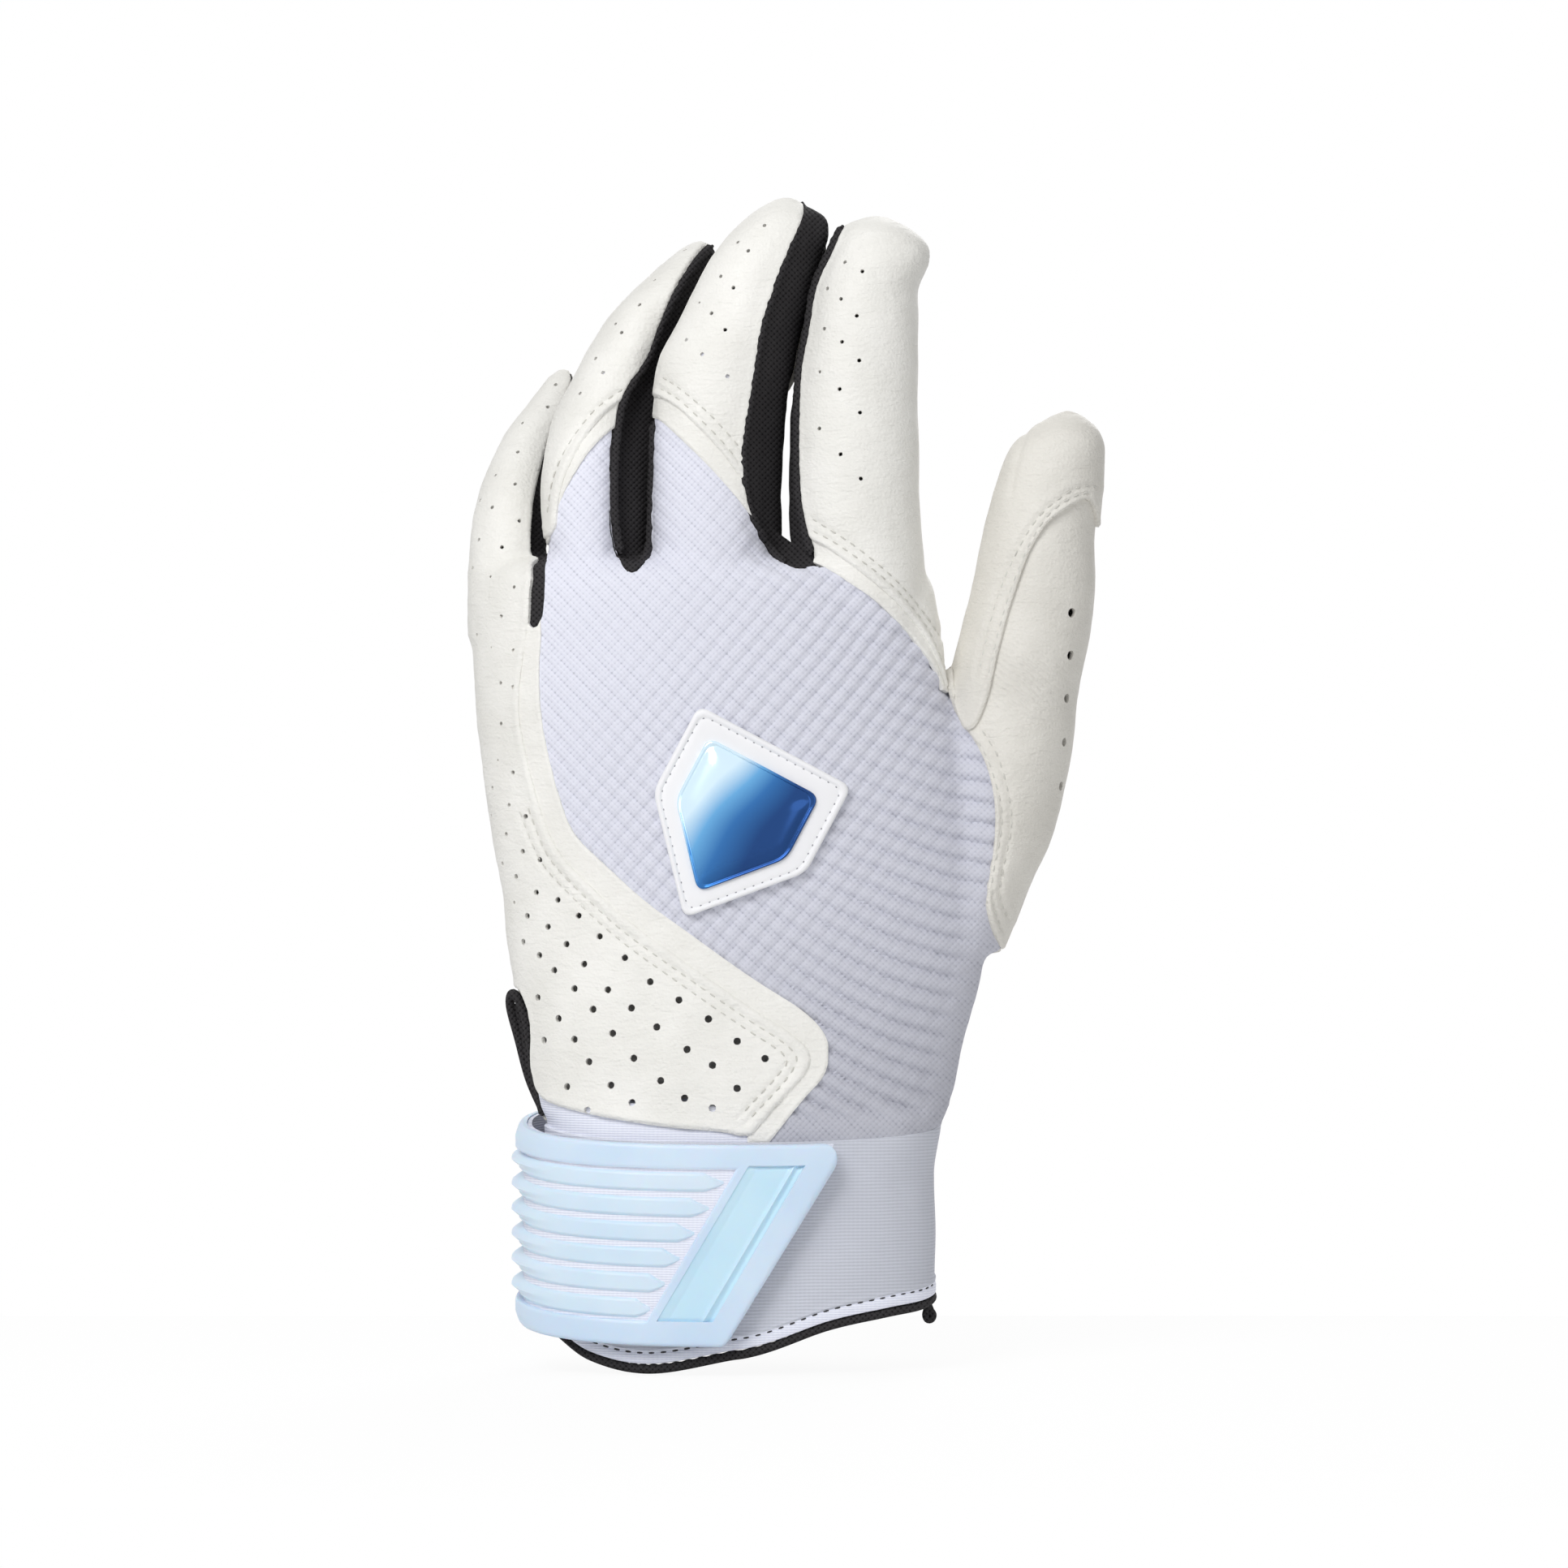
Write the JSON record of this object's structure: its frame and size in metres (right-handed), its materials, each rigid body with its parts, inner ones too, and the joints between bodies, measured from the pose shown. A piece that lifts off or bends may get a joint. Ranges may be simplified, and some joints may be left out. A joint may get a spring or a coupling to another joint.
{
  "type": "batting glove",
  "caption": "Left-hand batting glove with leather palm, knit back, black finger gussets, elastic cuff and a wrist strap closed by a ribbed rubber tab.",
  "frame": {"origin": "centre of the wrist opening, at the height of the lowest point of the hem", "axes": "+Z towards the fingertips, the back of the hand faces -Y, the thumb is at +X"},
  "size_m": [0.1305, 0.056, 0.2399],
  "materials": {
    "leather": "smooth grained, perforated",
    "palm_leather": "soft grained",
    "back_knit": "embossed stretch knit",
    "black_knit": "matte knit",
    "cuff_knit": "fine ribbed elastic",
    "strap_web": "smooth webbing",
    "hook_and_loop": "hook and loop",
    "tab_rubber": "translucent satin",
    "badge_film": "blue mirror film"
  },
  "bodies": {
    "hand": {"palm_hide": "palm_leather", "back_mesh": "back_knit", "ulnar_flap": "leather", "ulnar_trim": "leather", "knuckle_trim": "leather", "index_root": "leather", "thumb_root_back": "leather", "thumb_root_front": "palm_leather", "web_ring_little": "black_knit", "web_middle_ring": "black_knit", "web_index_middle": "black_knit", "cuff_band": "cuff_knit", "cuff_binding": "black_knit", "slit_binding": "black_knit", "binding_tag": "black_knit", "loop_pad": "hook_and_loop", "strap_anchor": "strap_web", "badge_base": "leather", "badge_film": "badge_film"},
    "strap": {"hook_pad": "hook_and_loop", "strap_webbing": "strap_web", "strap_tab": "tab_rubber", "tab_plate": "tab_rubber"},
    "index_finger": {"index_back": "leather", "index_front": "palm_leather", "index_gusset": "black_knit"},
    "middle_finger": {"middle_back": "leather", "middle_front": "palm_leather", "middle_outer_gusset": "black_knit", "middle_inner_gusset": "black_knit", "middle_mesh": "back_knit"},
    "ring_finger": {"ring_back": "leather", "ring_front": "palm_leather", "ring_outer_gusset": "black_knit", "ring_inner_gusset": "black_knit", "ring_mesh": "back_knit"},
    "little_finger": {"little_back": "leather", "little_front": "palm_leather", "little_gusset": "black_knit"},
    "thumb": {"thumb_lower": "leather", "thumb_tip": "leather", "thumb_front": "palm_leather"}
  },
  "joints": [
    {"name": "index_flex", "type": "hinge", "parent": "hand", "child": "index_finger", "pos_m": [0.02852, 0.01315, 0.164], "axis": [-0.9877, 0.1564, 0], "range_deg": [0, 60]},
    {"name": "middle_flex", "type": "hinge", "parent": "hand", "child": "middle_finger", "pos_m": [-0.00157, 0.01239, 0.164], "axis": [-0.9903, 0.1392, 0], "range_deg": [0, 60]},
    {"name": "ring_flex", "type": "hinge", "parent": "hand", "child": "ring_finger", "pos_m": [-0.02784, 0.01259, 0.164], "axis": [-0.9877, 0.1564, 0], "range_deg": [0, 60]},
    {"name": "little_flex", "type": "hinge", "parent": "hand", "child": "little_finger", "pos_m": [-0.04508, 0.01829, 0.164], "axis": [-0.9848, 0.1736, 0], "range_deg": [0, 60]},
    {"name": "thumb_flex", "type": "hinge", "parent": "hand", "child": "thumb", "pos_m": [0.0582, 0.0213, 0.1375], "axis": [-1, 0, 0], "range_deg": [0, 40]},
    {"name": "strap_peel", "type": "hinge", "parent": "hand", "child": "strap", "pos_m": [-0.02695, 0.0188, 0.031], "axis": [0, 0, -1], "range_deg": [0, 110]}
  ]
}
